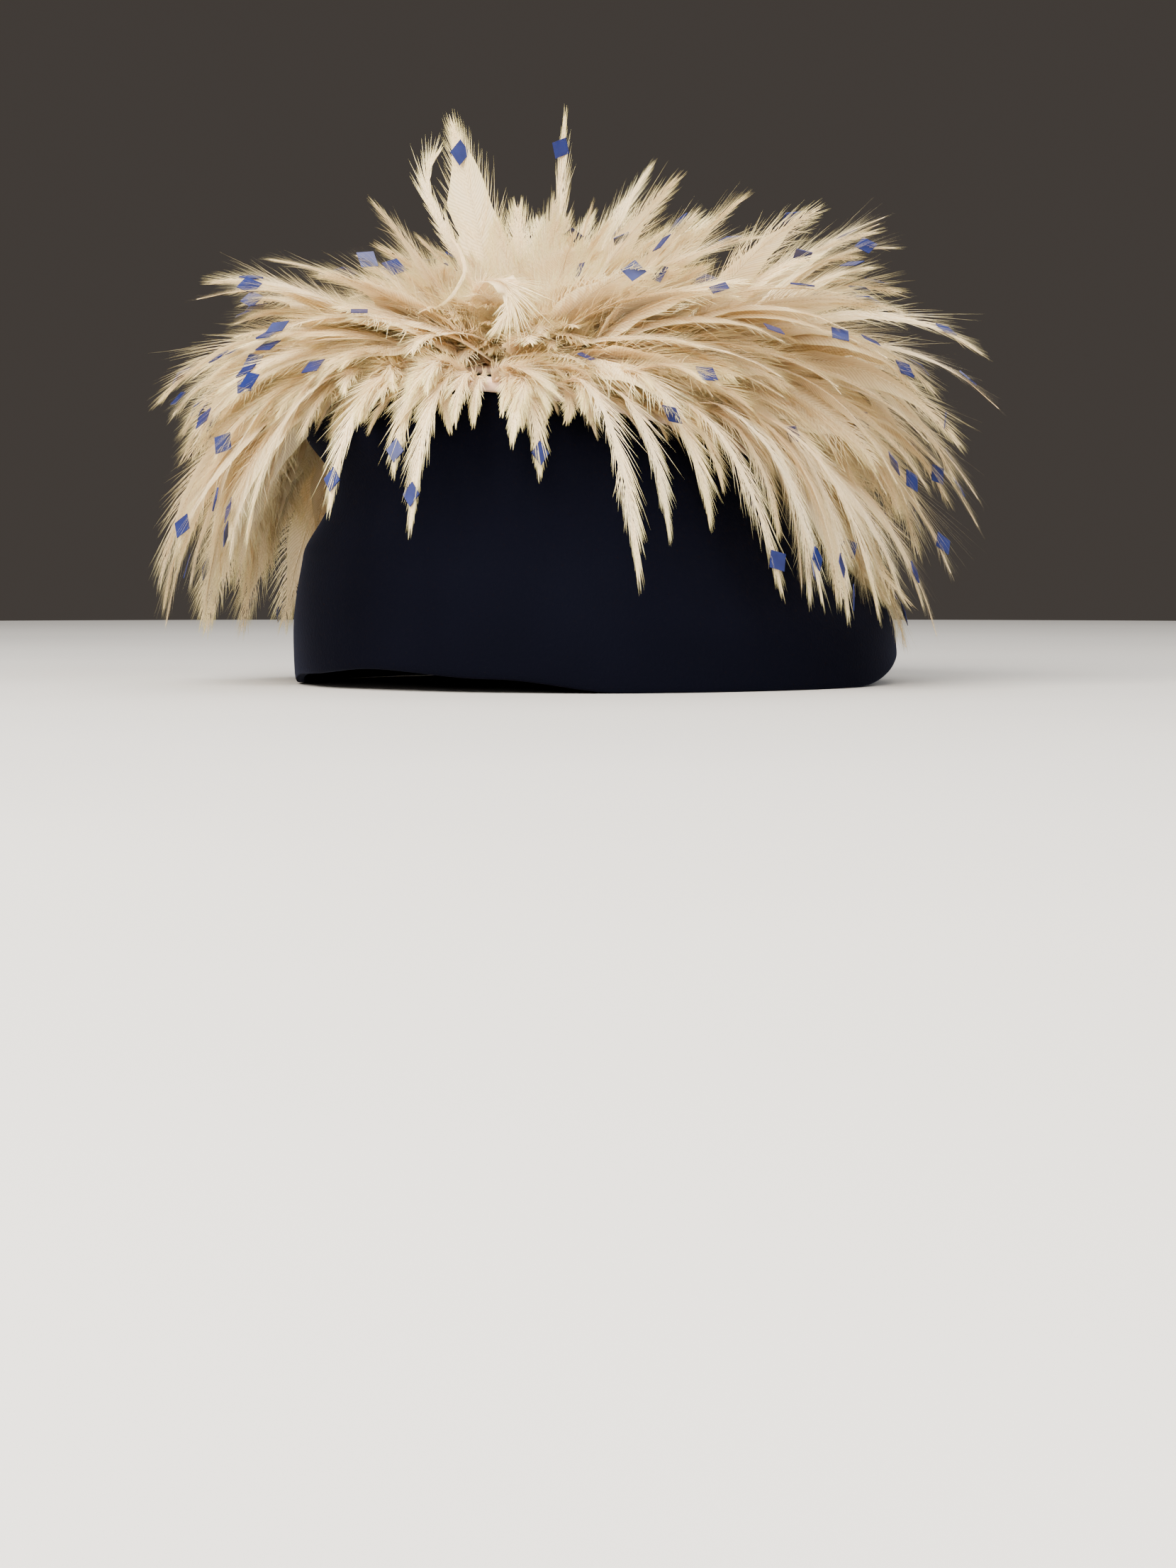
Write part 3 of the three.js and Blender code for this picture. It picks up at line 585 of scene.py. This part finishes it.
def barb_geometry(rows, spines, rng):
    """Points, triangles and shading values of the loose barbs, a thin tapered ribbon each."""
    count = len(rows)
    shape = (count, 2, BARBS)
    place = BARB_START + BARB_RUN * (np.arange(BARBS) + rng.uniform(0.1, 0.9, shape)) / BARBS
    place = place.reshape(count, -1)
    base, along = spine_at(spines, place)
    side, face = vane_frame(rows, along, place)
    sign = np.broadcast_to(np.array([-1.0, 1.0])[None, :, None], shape).reshape(count, -1)
    waves = rng.uniform(0.0, 2.0 * math.pi, (count, 4, 1))
    clump = np.sin(place * CLUMP_RATES[0] + waves[:, 0] * sign)
    clump = clump + CLUMP_SHARE * np.sin(place * CLUMP_RATES[1] + waves[:, 1] * sign)
    spread = np.clip(column_of(rows, "width") / FULL_WIDTH, LEAST_SPREAD, 1.0)[:, None]
    angle = BARB_ANGLE[0] + BARB_ANGLE[1] * spread
    angle = angle - (BARB_CLOSING[0] + BARB_CLOSING[1] * spread) * place
    angle = angle + CLUMP_TURN * clump + rng.normal(0.0, BARB_ANGLE_STRAY, place.shape)
    angle = np.radians(np.clip(angle, *BARB_ANGLE_LIMITS))
    reach = vane_reach(rows, place) * (1.0 + EDGE_WAVE * np.sin(place * EDGE_RATE + waves[:, 2]))
    reach = reach * (1.0 + CLUMP_REACH * (1.0 - spread) * clump)
    reach = reach * BARB_OVERREACH * rng.uniform(*BARB_REACH, place.shape) + BARB_LEAST
    cup = column_of(rows, "cup")[:, None] + rng.normal(0.0, BARB_CURL, place.shape)
    cup = cup + (1.0 - place) ** 3 * rng.normal(0.0, ROOT_CURL, place.shape)
    rise = rng.uniform(*BARB_RISE, place.shape)

    t = BARB_STATIONS
    length = column_of(rows, "length")[:, None]
    ahead = (1.0 - place) * length * rng.uniform(*BARB_STOP, place.shape) + TIP_OVERREACH
    advance = np.minimum(BARB_ADVANCE * reach / np.tan(angle), ahead)
    end_share = np.interp(place + advance / length, *VANE_ROWS.T)
    reach = reach * (END_LEAST + (1.0 - END_LEAST) * end_share)
    lateral = ((1.0 + SIDE_BEND) * t - SIDE_BEND * t**2) * (reach * sign)[..., None]
    forward = ((1.0 - FORWARD_BEND) * t + FORWARD_BEND * t**2) * advance[..., None]
    sag = rise[..., None] * (1.0 - t) - t**2 * (reach * cup)[..., None]
    points = (base[:, :, None] + side[:, :, None] * lateral[..., None]
              + along[:, :, None] * forward[..., None] + face[:, :, None] * sag[..., None])
    barb = unit(np.gradient(points, axis=2))
    offset = unit(np.cross(face[:, :, None], barb)) * BARB_GIRTH[:, None]
    last = len(t) - 1
    pairs = np.stack([points - offset, points + offset], axis=3)[:, :, :last]
    vertices = np.concatenate([pairs.reshape(count, -1, 2 * last, 3), points[:, :, last:]], axis=2)
    pattern = []
    for k in range(0, 2 * last - 2, 2):
        pattern += [(k, k + 1, k + 3), (k, k + 3, k + 2)]
    pattern.append((2 * last - 2, 2 * last - 1, 2 * last))
    starts = np.arange(count * 2 * BARBS) * (2 * last + 1)
    triangles = starts[:, None, None] + np.array(pattern)[None]
    edge = np.append(np.tile([-0.3, 0.3], last), 0.0) / BARBS
    place_value = np.clip(place[..., None] + edge, 0.0, 1.0)
    reach_value = np.broadcast_to(np.append(np.repeat(t[:last], 2), t[last]), place_value.shape)
    number = np.broadcast_to(np.arange(count)[:, None, None], place_value.shape)
    return (vertices.reshape(-1, 3), triangles.reshape(-1, 3), place_value.ravel(),
            reach_value.ravel(), number.ravel())


def shaft_geometry(rows, spines):
    """Vertices, triangles and shading values of the shafts, thin tubes that taper to the tip."""
    count = len(rows)
    place = np.broadcast_to(np.linspace(0.0, SHAFT_END, SHAFT_STATIONS), (count, SHAFT_STATIONS))
    base, along = spine_at(spines, place)
    side, face = vane_frame(rows, along, place)
    girth = (SHAFT_GIRTH + SHAFT_GIRTH_SHARE * column_of(rows, "width"))[:, None]
    girth = girth * (1.0 - SHAFT_TAPER * place)
    turn = np.arange(SHAFT_SIDES) * 2.0 * math.pi / SHAFT_SIDES
    ring = side[:, :, None] * np.cos(turn)[:, None] + face[:, :, None] * np.sin(turn)[:, None]
    vertices = base[:, :, None] + ring * girth[:, :, None, None]
    quads = []
    for k in range(SHAFT_STATIONS - 1):
        for n in range(SHAFT_SIDES):
            a, b = k * SHAFT_SIDES + n, k * SHAFT_SIDES + (n + 1) % SHAFT_SIDES
            quads += [(a, b, b + SHAFT_SIDES), (a, b + SHAFT_SIDES, a + SHAFT_SIDES)]
    starts = np.arange(count) * SHAFT_STATIONS * SHAFT_SIDES
    triangles = starts[:, None, None] + np.array(quads)[None]
    length_value = np.repeat(place, SHAFT_SIDES, axis=1)
    reach_value = np.tile(np.linspace(-0.06, -0.02, SHAFT_SIDES), (count, SHAFT_STATIONS))
    number = np.broadcast_to(np.arange(count)[:, None], length_value.shape)
    return (vertices.reshape(-1, 3), triangles.reshape(-1, 3), length_value.ravel(),
            reach_value.ravel(), number.ravel())


def mesh_object(name, vertices, triangles, material, smooth=True):
    """A mesh object from arrays of points in metres and triangles."""
    mesh = bpy.data.meshes.new(name)
    mesh.vertices.add(len(vertices))
    mesh.vertices.foreach_set("co", np.ascontiguousarray(vertices, dtype=np.float32).ravel())
    mesh.loops.add(triangles.size)
    mesh.loops.foreach_set("vertex_index", np.ascontiguousarray(triangles, dtype=np.int32).ravel())
    mesh.polygons.add(len(triangles))
    mesh.polygons.foreach_set("loop_start", np.arange(0, triangles.size, 3, dtype=np.int32))
    mesh.polygons.foreach_set("use_smooth", np.full(len(triangles), smooth, dtype=bool))
    mesh.update(calc_edges=True)
    mesh.validate()
    mesh.materials.append(material)
    piece = bpy.data.objects.new(name, mesh)
    bpy.context.collection.objects.link(piece)
    return piece


def add_values(piece, name, values):
    layer = piece.data.attributes.new(name, "FLOAT", "POINT")
    layer.data.foreach_set("value", np.ascontiguousarray(values, dtype=np.float32))


def feather_piece(name, rows, material, rng, spines=None):
    """One mesh of many feathers, with a chart for baking that has a strip for each feather."""
    for row in rows:
        row["twist"] = rng.normal() * TWIST * (row["share"] < 1.0)
        row["cup"] = rng.uniform(*(MAIN_CUP if row["share"] == 1.0 else STRAY_CUP))
    spines = above_floor(feather_spines(rows) if spines is None else spines)
    parts = [
        vane_geometry(rows, spines, rng),
        barb_geometry(rows, spines, rng),
        shaft_geometry(rows, spines),
    ]
    starts = np.cumsum([0] + [len(part[0]) for part in parts])
    vertices = above_floor(np.concatenate([part[0] for part in parts]))
    triangles = np.concatenate([part[1] + start for part, start in zip(parts, starts)])
    along, across, number = (np.concatenate([part[k] for part in parts]) for k in (2, 3, 4))
    chart_rows = [low + share * part[3] for part, (low, share) in zip(parts, CHART_BANDS)]
    chart_row = np.concatenate(chart_rows)
    piece = mesh_object(name, metres(vertices), triangles, material)
    tint = rng.uniform(0.0, 1.0, len(rows))
    add_values(piece, "tint", tint[number])
    add_values(piece, "along", along)
    add_values(piece, "across", np.clip(across, 0.0, 1.0))
    chart_place = CHART_MARGIN + (1.0 - 2.0 * CHART_MARGIN) * along
    chart = np.stack([chart_place, (number + chart_row) / len(rows)], axis=-1)
    layer = piece.data.uv_layers.new(name="OFBake")
    layer.data.foreach_set("uv", chart[triangles.ravel()].astype(np.float32).ravel())
    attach(piece, "root")
    return piece, spines


def grid_triangles(rows, columns, loop_rows=False):
    """Triangles of a grid of points whose columns close on themselves."""
    row = np.arange(rows if loop_rows else rows - 1)[:, None]
    column = np.arange(columns)[None, :]
    a, b = row * columns + column, row * columns + (column + 1) % columns
    up = (row + 1) % rows
    c, d = up * columns + (column + 1) % columns, up * columns + column
    halves = [np.stack([a, b, c], -1), np.stack([a, c, d], -1)]
    return np.concatenate([half.reshape(-1, 3) for half in halves])


def velvet_shell(material):
    """The hollow toque: rings up the inside, round the hem and up the outside."""
    segments = SHELL_SEGMENTS
    angles = np.arange(segments) * 360.0 / segments
    outer = np.concatenate([np.linspace(0.0, 1.0, 6)[:-1], np.linspace(1.0, TOP_LEVEL, 91)])
    inner = np.concatenate([np.linspace(TOP_LEVEL, 1.0, 61), [0.6, 0.0]])
    inside = lining_point(angles[None, :], inner[:, None])
    outside = shell_point(angles[None, :], outer[:, None])
    inside[-1, :, 2] = outside[0, :, 2]
    grid = np.concatenate([inside, outside])
    grid[..., 2] = np.maximum(grid[..., 2], 0.0)
    rings = len(grid)
    tops = [(0.0, APEX_Y, APEX_HEIGHT - WALL), (0.0, APEX_Y, APEX_HEIGHT)]
    vertices = np.concatenate([grid.reshape(-1, 3), tops])
    first, last = np.arange(segments), (rings - 1) * segments + np.arange(segments)
    poles = rings * segments + np.arange(2)
    caps = [np.stack([np.roll(first, -1), first, np.full(segments, poles[0])], -1),
            np.stack([last, np.roll(last, -1), np.full(segments, poles[1])], -1)]
    triangles = np.concatenate([grid_triangles(rings, segments), *caps])
    piece = mesh_object("velvet_shell", metres(vertices), triangles, material)
    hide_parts("toque_shell")
    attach(piece, "root")


def band_piece(band, material):
    """A sewn cloth strip with rounded edges that runs round the crown."""
    segments, corners = BAND_SEGMENTS, BAND_CORNERS
    angles = np.arange(segments) * 360.0 / segments
    upward, outward = shell_frame(angles, band_level(band, angles))
    turn = np.arange(corners) * 2.0 * math.pi / corners
    up = np.sign(np.cos(turn)) * np.abs(np.cos(turn)) ** BAND_ROUNDING * BAND_HALF_HEIGHT
    out = -np.sign(np.sin(turn)) * np.abs(np.sin(turn)) ** BAND_ROUNDING * BAND_HALF_THICK
    points = (band_centre(band, angles)[:, None] + upward[:, None] * up[:, None]
              + outward[:, None] * out[:, None])
    triangles = grid_triangles(segments, corners, True)[:, ::-1]
    piece = mesh_object(f"{band}_cloth", metres(points.reshape(-1, 3)), triangles, material)
    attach(piece, "root")


def node_material(name):
    material = bpy.data.materials.new(name)
    material.use_nodes = True
    tree = material.node_tree
    return material, tree, tree.nodes["Principled BSDF"]


def add_node(tree, kind, **settings):
    node = tree.nodes.new(kind)
    for key, value in settings.items():
        setattr(node, key, value)
    return node


def attribute(tree, name):
    return add_node(tree, "ShaderNodeAttribute", attribute_name=name).outputs["Fac"]


def ramp(tree, factor, stops):
    node = add_node(tree, "ShaderNodeValToRGB")
    elements = node.color_ramp.elements
    while len(elements) < len(stops):
        elements.new(1.0)
    for element, (place, colour) in zip(elements, stops):
        element.position = place
        element.color = (*colour, 1.0)
    tree.links.new(factor, node.inputs["Fac"])
    return node.outputs["Color"]


def mix_colour(tree, factor, first, second, blend="MIX"):
    node = add_node(tree, "ShaderNodeMix", data_type="RGBA", blend_type=blend)
    sockets = (node.inputs[0], node.inputs[6], node.inputs[7])
    for socket, value in zip(sockets, (factor, first, second)):
        if isinstance(value, bpy.types.NodeSocket):
            tree.links.new(value, socket)
        elif isinstance(value, tuple):
            socket.default_value = (*value, 1.0)
        else:
            socket.default_value = value
    return node.outputs[2]


def noise(tree, scale, detail=2.0, roughness=0.5):
    node = add_node(tree, "ShaderNodeTexNoise")
    node.inputs["Scale"].default_value = scale
    node.inputs["Detail"].default_value = detail
    node.inputs["Roughness"].default_value = roughness
    place = add_node(tree, "ShaderNodeTexCoord")
    tree.links.new(place.outputs["Object"], node.inputs["Vector"])
    return node.outputs["Fac"]


def maths(tree, operation, first, second):
    node = add_node(tree, "ShaderNodeMath", operation=operation)
    for socket, value in zip(node.inputs, (first, second)):
        if isinstance(value, bpy.types.NodeSocket):
            tree.links.new(value, socket)
        else:
            socket.default_value = value
    return node.outputs[0]


def barb_shade_streaks(tree):
    """Fine darker streaks that slant forward from the shaft: painted shade between close-lying barbs."""
    slant = maths(tree, "MULTIPLY", attribute(tree, "across"), STREAK_SLANT)
    place = maths(tree, "SUBTRACT", attribute(tree, "along"), slant)
    wave = maths(tree, "SINE", maths(tree, "MULTIPLY", place, STREAK_RATE), 0.0)
    share = maths(tree, "ADD", maths(tree, "MULTIPLY", wave, 0.5), 0.5)
    return ramp(tree, share, [(0.0, (0.80, 0.76, 0.66)), (0.65, (1.0, 1.0, 1.0))])


def feather_material():
    """Cream hackle: peach towards the root, paler in the vane, some feathers yellower."""
    material, tree, shader = node_material("cream_hackle")
    body = ramp(tree, attribute(tree, "tint"), [
        (0.0, (0.92, 0.82, 0.59)), (0.4, (0.95, 0.86, 0.65)),
        (0.75, (0.97, 0.88, 0.68)), (1.0, (0.98, 0.91, 0.73)),
    ])
    root = ramp(tree, attribute(tree, "along"), [
        (0.0, (0.99, 0.90, 0.82)), (0.35, (1.0, 0.97, 0.94)),
        (0.7, (1.0, 1.0, 1.0)), (1.0, (1.0, 0.97, 0.88)),
    ])
    colour = mix_colour(tree, 1.0, body, root, "MULTIPLY")
    # Peach across the vane and olive at the barb ends: partly the hackle's own tones, partly painted warm
    # highlight on the vanes and painted olive shade in the barbs.
    edge = ramp(tree, attribute(tree, "across"), [
        (0.0, (1.0, 0.96, 0.90)), (0.5, (1.0, 0.96, 0.90)), (1.0, (0.86, 0.88, 0.58)),
    ])
    colour = mix_colour(tree, 1.0, colour, edge, "MULTIPLY")
    # Painted shade between the barbs darkens the vanes in fine slanting streaks.
    colour = mix_colour(tree, 1.0, colour, barb_shade_streaks(tree), "MULTIPLY")
    tree.links.new(colour, shader.inputs["Base Color"])
    shader.inputs["Roughness"].default_value = 0.62
    shader.inputs["Specular IOR Level"].default_value = 0.25
    shader.inputs["Sheen Weight"].default_value = 0.15
    through = add_node(tree, "ShaderNodeBsdfTranslucent")
    tree.links.new(colour, through.inputs["Color"])
    mixer = add_node(tree, "ShaderNodeMixShader")
    mixer.inputs[0].default_value = 0.4
    tree.links.new(shader.outputs[0], mixer.inputs[1])
    tree.links.new(through.outputs[0], mixer.inputs[2])
    tree.links.new(mixer.outputs[0], tree.nodes["Material Output"].inputs["Surface"])
    return material


def velvet_material():
    """Near-black navy pile that catches light at grazing angles, with faint patches of painted sheen."""
    material, tree, shader = node_material("navy_velvet")
    # Faint lighter patches at random in the base colour are painted sheen of the pile.
    sheen_patches = noise(tree, 9.0, 3.0)
    pile = noise(tree, 900.0, 2.0)
    colour = ramp(tree, sheen_patches, [(0.3, (0.0006, 0.0007, 0.0022)), (0.7, (0.0012, 0.0014, 0.0040))])
    tree.links.new(colour, shader.inputs["Base Color"])
    shader.inputs["Roughness"].default_value = 0.9
    shader.inputs["Specular IOR Level"].default_value = 0.03
    shader.inputs["Sheen Weight"].default_value = 0.07
    shader.inputs["Sheen Roughness"].default_value = 0.32
    shader.inputs["Sheen Tint"].default_value = (0.32, 0.36, 0.62, 1.0)
    bump = add_node(tree, "ShaderNodeBump")
    bump.inputs["Strength"].default_value = 0.35
    bump.inputs["Distance"].default_value = 0.0004
    tree.links.new(pile, bump.inputs["Height"])
    tree.links.new(bump.outputs["Normal"], shader.inputs["Normal"])
    return material


def chip_material():
    """Thin blue film with a satin face, a little uneven."""
    material, tree, shader = node_material("blue_chip")
    colour = ramp(tree, noise(tree, 160.0, 2.0), [
        (0.3, (0.0025, 0.006, 0.055)), (0.7, (0.007, 0.015, 0.10)),
    ])
    tree.links.new(colour, shader.inputs["Base Color"])
    shader.inputs["Roughness"].default_value = 0.45
    shader.inputs["Specular IOR Level"].default_value = 0.3
    return material


def cloth_material():
    """Undyed strip that the feathers are sewn to."""
    material, tree, shader = node_material("band_cloth")
    colour = ramp(tree, noise(tree, 240.0, 3.0), [(0.3, (0.56, 0.38, 0.28)), (0.7, (0.70, 0.52, 0.40))])
    tree.links.new(colour, shader.inputs["Base Color"])
    shader.inputs["Roughness"].default_value = 0.9
    return material


def outermost(points, cover):
    """Numbers of the points that no cover point hides from outside and that lie apart."""
    ray, cover_ray = points - HAT_MIDDLE, cover - HAT_MIDDLE
    reach, cover_reach = np.linalg.norm(ray, axis=1), np.linalg.norm(cover_ray, axis=1)
    near = unit(ray) @ unit(cover_ray).T > math.cos(math.radians(CHIP_CONE))
    score = reach / np.where(near, cover_reach, 0.0).max(axis=1)
    kept = []
    for k in np.argsort(-score):
        apart = all(np.linalg.norm(points[k] - points[n]) > CHIP_APART for n in kept)
        if score[k] > CHIP_LEAST_REACH and apart:
            kept.append(k)
    return kept


def chip_piece(rows, spines, cover, material, rng):
    """Thin rhombic chips near the tips of the outermost added feathers, on or under the vane."""
    place = np.full((len(rows), 1), CHIP_ALONG)
    kept = outermost(spine_at(spines, place)[0][:, 0], cover)
    rows, spines = [rows[k] for k in kept], spines[kept]
    place = rng.uniform(CHIP_ALONG + CHIP_SLIDE[0], CHIP_ALONG + CHIP_SLIDE[1], (len(rows), 1))
    base, along = spine_at(spines, place)
    side, face = vane_frame(rows, along, place)
    turn = rng.normal(0.0, CHIP_TURN, (len(rows), 1, 1))
    tail = along * np.cos(turn) + side * np.sin(turn)
    outward = unit(base - HAT_MIDDLE)
    stands = column_of(rows, "alone")[:, None, None] > 0.0
    outward = np.where(stands, heading_vector(VIEW_TURN), outward)
    outward = outward - tail * (outward * tail).sum(axis=-1, keepdims=True)
    face = unit(face * (1.0 - CHIP_OUTWARD) + unit(outward) * CHIP_OUTWARD)
    face = unit(face - tail * (face * tail).sum(axis=-1, keepdims=True))
    wing = np.cross(face, tail)
    sway = rng.normal(0.0, CHIP_SWAY, (len(rows), 1, 1)) * ~stands
    swayed = face * np.cos(sway) + wing * np.sin(sway)
    wing = wing * np.cos(sway) - face * np.sin(sway)
    face = swayed
    over = np.where(rng.uniform(size=(len(rows), 1, 1)) < CHIP_OVER_SHARE, CHIP_LIFT, -CHIP_LIFT)
    corners = []
    for level in (1, -1):
        middle = base + face * (over + level * CHIP_THICK / 4.0)
        for u, v in ((1, 0), (0, 1), (-1, 0), (0, -1)):
            corners.append(middle + tail * (CHIP_LENGTH / 2.0 * u) + wing * (CHIP_WIDTH / 2.0 * v))
    points = np.concatenate(corners, axis=1)
    pattern = [(0, 1, 2), (0, 2, 3), (6, 5, 4), (7, 6, 4)]
    for n in range(4):
        m = (n + 1) % 4
        pattern += [(n, n + 4, m + 4), (n, m + 4, m)]
    triangles = (np.arange(len(rows))[:, None, None] * 8 + np.array(pattern)).reshape(-1, 3)
    vertices = metres(points.reshape(-1, 3))
    piece = mesh_object("small_chips", vertices, triangles, material, smooth=False)
    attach(piece, "root")


FEATHER_PIECES = {
    "fringe_feathers": ("fringe", (0,), "fringe_band"),
    "wreath_lower_feathers": ("wreath", (1,), "wreath_band"),
    "wreath_upper_feathers": ("wreath", (2, 3), "wreath_band"),
    "crest_feathers": ("crest", (0,), "crest_plumes"),
}


def single_feathers(rng):
    """The single feathers of the table, facing the picture's view, with their spines."""
    rows, spines = [], []
    for width, points in SINGLE_FEATHERS.values():
        right, toward, height = np.array(points, float).T[..., None]
        aside = right * side_vector(VIEW_TURN)
        spines.append(aside + toward * heading_vector(VIEW_TURN) + height * UP)
        length = np.linalg.norm(np.diff(spines[-1], axis=0), axis=1).sum()
        roll = rng.normal() * SINGLE_ROLL
        rows.append(feather("single", spines[-1][0], VIEW_TURN, 0.0, 0.0, length, width, roll))
    return rows, np.array(spines)


SEED = 41


def build_hat():
    rng = np.random.default_rng(SEED)
    hackle, cloth, blue = feather_material(), cloth_material(), chip_material()
    velvet_shell(velvet_material())
    for band in BANDS:
        band_piece(band, cloth)
    main = main_feathers()
    rows = main + stray_feathers(main, rng)
    carriers, carrier_spines, cover = [], [], []
    for name, (group, tiers, node) in FEATHER_PIECES.items():
        chosen = [row for row in rows if row["group"] == group and row["tier"] in tiers]
        piece, spines = feather_piece(name, chosen, hackle, rng)
        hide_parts(node)
        picked = [k for k, row in enumerate(chosen)
                  if row["share"] < 1.0 or row["alone"] and group == "crest"]
        carriers += [chosen[k] for k in picked]
        carrier_spines.append(spines[picked])
        stations = np.broadcast_to(COVER_STATIONS, (len(chosen), len(COVER_STATIONS)))
        cover.append(spine_at(spines, stations)[0].reshape(-1, 3))
    chip_piece(carriers, np.concatenate(carrier_spines), np.concatenate(cover), blue, rng)
    feather_piece("edge_down", down_feathers(rng), hackle, rng)
    feather_piece("puff_feathers", puff_feathers(rng), hackle, rng)
    singles, single_spines = single_feathers(rng)
    feather_piece("single_feathers", singles, hackle, rng, single_spines)
    for name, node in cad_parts.items():
        if name.startswith("chip_"):
            node.data.materials.clear()
            node.data.materials.append(blue)


CAMERA_DISTANCE, CAMERA_HEIGHT = 1300.0, 45.0
LENS, SENSOR = 75.6, 36.0
PHOTO_SIZE = (1659.0, 2212.0)
RIM_PIXEL = (844.0, 962.0)
LIGHT_TARGET = 0.1
FLOOR_SEGMENTS, FLOOR_RADIUS, FLOOR_DROP = 96, 1.6, 0.0002


def place_camera():
    """The photograph's view, with the rim's middle at its place in the picture."""
    data = bpy.data.cameras.new("camera")
    data.lens, data.sensor_width = LENS, SENSOR
    camera = bpy.data.objects.new("camera", data)
    bpy.context.collection.objects.link(camera)
    focal = LENS / SENSOR * PHOTO_SIZE[1]
    below = math.atan2(CAMERA_HEIGHT, CAMERA_DISTANCE)
    pitch = -below - math.atan2(PHOTO_SIZE[1] / 2.0 - RIM_PIXEL[1], focal)
    yaw = math.radians(VIEW_TURN) + math.atan2(RIM_PIXEL[0] - PHOTO_SIZE[0] / 2.0, focal)
    place = heading_vector(VIEW_TURN) * CAMERA_DISTANCE + UP * CAMERA_HEIGHT
    camera.location = metres(place)
    camera.rotation_euler = (math.pi / 2.0 + pitch, 0.0, yaw)
    bpy.context.scene.camera = camera


def area_light(name, turn, lift, distance, size, power, colour):
    data = bpy.data.lights.new(name, "AREA")
    data.size, data.energy, data.color = size, power, colour
    light = bpy.data.objects.new(name, data)
    bpy.context.collection.objects.link(light)
    target = UP * LIGHT_TARGET
    away = heading_vector(np.float64(turn)) * math.cos(math.radians(lift))
    away = away + UP * math.sin(math.radians(lift))
    light.location = target + away * distance
    light.rotation_euler = (math.pi / 2.0 - math.radians(lift), 0.0, math.radians(turn))


def stage():
    """A plain pale floor, a plain backdrop colour and soft lights."""
    floor_material, tree, shader = node_material("pale_floor")
    colour = ramp(tree, noise(tree, 3.0, 2.0), [
        (0.3, (0.44, 0.43, 0.415)), (0.7, (0.47, 0.46, 0.445)),
    ])
    tree.links.new(colour, shader.inputs["Base Color"])
    shader.inputs["Roughness"].default_value = 0.8
    count = FLOOR_SEGMENTS
    turn = np.arange(count) * 2.0 * math.pi / count
    rim = np.stack([np.cos(turn), np.sin(turn), np.zeros(count)], -1) * FLOOR_RADIUS
    triangles = np.stack([np.arange(count), (np.arange(count) + 1) % count, np.full(count, count)], -1)
    floor = mesh_object("floor", np.concatenate([rim, [(0.0, 0.0, 0.0)]]), triangles, floor_material)
    floor.location.z = -FLOOR_DROP
    world = bpy.data.worlds.new("studio")
    world.use_nodes = True
    backdrop = world.node_tree.nodes["Background"]
    backdrop.inputs["Color"].default_value = (0.062, 0.053, 0.047, 1.0)
    backdrop.inputs["Strength"].default_value = 1.0
    bpy.context.scene.world = world
    area_light("key", 14.0, 38.0, 1.6, 1.2, 118.0, (1.0, 0.94, 0.86))
    area_light("front", 48.0, 14.0, 2.0, 0.9, 32.0, (1.0, 0.95, 0.88))
    area_light("fill", 100.0, 25.0, 1.8, 1.4, 24.0, (0.95, 0.97, 1.0))
    area_light("top", -140.0, 70.0, 1.6, 1.4, 26.0, (1.0, 0.98, 0.95))


build_hat()
place_camera()
stage()
